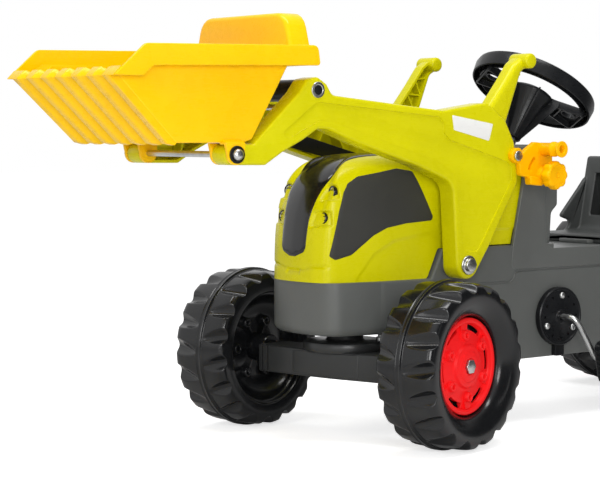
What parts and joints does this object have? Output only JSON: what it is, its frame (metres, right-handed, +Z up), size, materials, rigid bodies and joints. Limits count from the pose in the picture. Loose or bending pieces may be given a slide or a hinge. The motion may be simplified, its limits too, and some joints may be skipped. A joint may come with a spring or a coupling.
{
  "type": "ride-on digger",
  "caption": "Pedal tractor toy with a front loader: steered front axle, chain drive, sliding seat, lifting loader arms and a tipping bucket.",
  "frame": {"origin": "on the ground under the middle of the whole length and width, as it stands", "axes": "+X forwards towards the bucket, +Y to the driver's left, +Z up"},
  "size_m": [1.3726, 0.4722, 0.565],
  "materials": {
    "lime_plastic": "satin moulded plastic",
    "bucket_yellow": "satin moulded plastic",
    "lock_yellow": "satin moulded plastic",
    "chassis_grey": "fine-grained blow-moulded plastic",
    "black_plastic": "fine-grained moulded plastic",
    "gloss_black": "polished moulded plastic",
    "window_grey": "matt printed film",
    "lamp_clear": "clear over silvered plastic",
    "tyre_black": "blow-moulded tread, satin",
    "rim_red": "satin moulded plastic",
    "seat_grey": "fine-grained moulded plastic",
    "zinc_steel": "bright zinc plate",
    "chain_steel": "oiled steel"
  },
  "bodies": {
    "chassis": {"chassis_body": "chassis_grey", "hood": "lime_plastic", "dash_pillar": "chassis_grey", "grille_strip": "gloss_black", "side_window_left": "window_grey", "side_window_right": "window_grey", "headlamps": "lamp_clear", "kingpin": "zinc_steel", "loader_pivot_rod": "zinc_steel", "pivot_caps": "zinc_steel", "crank_plate_left": "black_plastic", "crank_plate_right": "black_plastic", "plate_screws": "zinc_steel", "rear_axle_bushes": "black_plastic", "tow_hitch": "black_plastic", "drive_chain": "chain_steel", "seat_rail": "chassis_grey"},
    "front_axle": {"axle_beam": "black_plastic", "front_axle_rod": "zinc_steel", "front_nuts": "zinc_steel", "link_pin": "zinc_steel"},
    "drag_link": {"drag_link": "zinc_steel"},
    "steering": {"steering_column": "zinc_steel", "steering_wheel": "black_plastic", "steering_cap": "chassis_grey"},
    "front_wheel_left": {"front_tyre_left": "tyre_black", "front_rim_left": "rim_red"},
    "front_wheel_right": {"front_tyre_right": "tyre_black", "front_rim_right": "rim_red"},
    "rear_drive": {"rear_axle": "zinc_steel", "rear_tyre_left": "tyre_black", "rear_rim_left": "rim_red", "drive_sprocket": "chain_steel", "rear_nuts": "zinc_steel"},
    "rear_wheel_right": {"rear_tyre_right": "tyre_black", "rear_rim_right": "rim_red"},
    "crank": {"crank_rod": "zinc_steel", "chainring": "chain_steel"},
    "pedal_left": {"pedal_left": "black_plastic"},
    "pedal_right": {"pedal_right": "black_plastic"},
    "seat": {"seat": "seat_grey", "seat_screw": "zinc_steel"},
    "loader": {"loader_arm_left": "lime_plastic", "loader_arm_right": "lime_plastic", "cross_tube": "zinc_steel", "cross_sleeve": "black_plastic", "tube_plugs": "black_plastic", "stop_rod": "zinc_steel", "arm_cover_left": "black_plastic", "arm_cover_right": "black_plastic", "lock_bracket": "lock_yellow", "lock_bolt": "zinc_steel"},
    "lock_knob": {"lock_knob": "lock_yellow"},
    "bucket": {"bucket": "bucket_yellow", "bucket_rod": "zinc_steel", "rod_bushes": "black_plastic", "rod_caps": "zinc_steel"}
  },
  "joints": [
    {"name": "steer", "type": "hinge", "parent": "chassis", "child": "front_axle", "pos_m": [0.23865, 0, 0.1125], "axis": [0, 0, 1], "range_deg": [-33.14, 6.86]},
    {"name": "steering_wheel_turn", "type": "hinge", "parent": "chassis", "child": "steering", "pos_m": [-0.12185, 0, 0.4885], "axis": [-0.515, 0, 0.8572], "range_deg": [-100, 21]},
    {"name": "link_swing", "type": "hinge", "parent": "front_axle", "child": "drag_link", "pos_m": [0.22365, 0.06427, 0.139], "axis": [0, 0, 1], "range_deg": [-7, 33.5]},
    {"name": "front_left_spin", "type": "hinge", "parent": "front_axle", "child": "front_wheel_left", "pos_m": [0.19864, 0.17139, 0.1125], "axis": [-0.2273, 0.9738, 0], "continuous": true},
    {"name": "front_right_spin", "type": "hinge", "parent": "front_axle", "child": "front_wheel_right", "pos_m": [0.27866, -0.17139, 0.1125], "axis": [-0.2273, 0.9738, 0], "continuous": true},
    {"name": "rear_drive_spin", "type": "hinge", "parent": "chassis", "child": "rear_drive", "pos_m": [-0.49635, 0, 0.153], "axis": [0, 1, 0], "continuous": true},
    {"name": "rear_right_spin", "type": "hinge", "parent": "chassis", "child": "rear_wheel_right", "pos_m": [-0.49635, -0.183, 0.153], "axis": [0, 1, 0], "continuous": true},
    {"name": "crank_spin", "type": "hinge", "parent": "chassis", "child": "crank", "pos_m": [-0.08635, 0, 0.153], "axis": [0, 1, 0], "continuous": true},
    {"name": "pedal_left_spin", "type": "hinge", "parent": "crank", "child": "pedal_left", "pos_m": [-0.13224, 0.16, 0.08747], "axis": [0, 1, 0], "continuous": true},
    {"name": "pedal_right_spin", "type": "hinge", "parent": "crank", "child": "pedal_right", "pos_m": [-0.04046, -0.16, 0.21853], "axis": [0, 1, 0], "continuous": true},
    {"name": "seat_slide", "type": "slide", "parent": "chassis", "child": "seat", "axis": [1, 0, 0], "range_m": [-0.04, 0.04]},
    {"name": "loader_lift", "type": "hinge", "parent": "chassis", "child": "loader", "pos_m": [0.11585, 0, 0.2368], "axis": [0, 1, 0], "range_deg": [0, 45]},
    {"name": "bucket_tilt", "type": "hinge", "parent": "loader", "child": "bucket", "pos_m": [0.50495, 0, 0.3895], "axis": [0, 1, 0], "range_deg": [0, 60]},
    {"name": "lock_turn", "type": "hinge", "parent": "loader", "child": "lock_knob", "pos_m": [-0.01835, 0.14, 0.357], "axis": [0, 1, 0], "range_deg": [-90, 90]}
  ],
  "couplings": [
    {"joint": "steering_wheel_turn", "follows": "steer", "ratio": 3},
    {"joint": "link_swing", "follows": "steer", "ratio": -1},
    {"joint": "crank_spin", "follows": "rear_drive_spin", "ratio": 0.83333}
  ]
}
